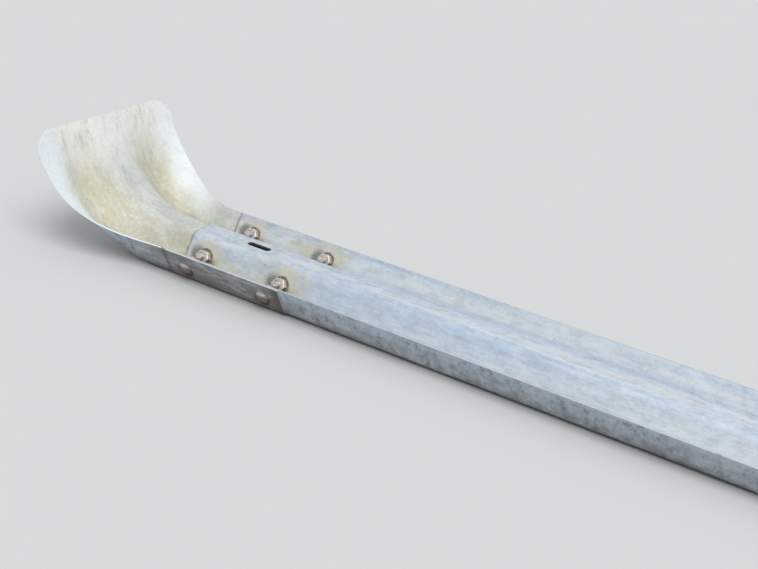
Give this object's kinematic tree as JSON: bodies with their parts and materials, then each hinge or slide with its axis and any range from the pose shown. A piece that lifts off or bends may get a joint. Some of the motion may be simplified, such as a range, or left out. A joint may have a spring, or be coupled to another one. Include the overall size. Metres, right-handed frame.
{
  "type": "highway guardrail section",
  "caption": "Corrugated W-beam guardrail panel with slotted ends, lap-spliced by bolts to a flared, curled end section; lies traffic side down.",
  "frame": {"origin": "under the middle of the whole length, on the floor that the crests rest on", "axes": "+X along the rail towards the flared end, +Z out of the back (post side), XZ the plane of symmetry"},
  "size_m": [4.4563, 0.4742, 0.2869],
  "materials": {
    "rail_zinc": "weathered hot-dip galvanised sheet with streaked spangle and stains",
    "flare_zinc": "chalky galvanised sheet with tan stain",
    "bolt_zinc": "galvanised bolt, rust at the edges",
    "nut_zinc": "galvanised nut, rust at the edges"
  },
  "bodies": {
    "root": {"rail_panel": "rail_zinc", "flared_end_section": "flare_zinc", "splice_bolt_1": "bolt_zinc", "splice_bolt_2": "bolt_zinc", "splice_bolt_3": "bolt_zinc", "splice_bolt_4": "bolt_zinc", "splice_bolt_5": "bolt_zinc", "splice_bolt_6": "bolt_zinc", "splice_bolt_7": "bolt_zinc", "splice_bolt_8": "bolt_zinc", "splice_nut_1": "nut_zinc", "splice_nut_2": "nut_zinc", "splice_nut_3": "nut_zinc", "splice_nut_4": "nut_zinc", "splice_nut_5": "nut_zinc", "splice_nut_6": "nut_zinc", "splice_nut_7": "nut_zinc", "splice_nut_8": "nut_zinc"}
  },
  "joints": []
}
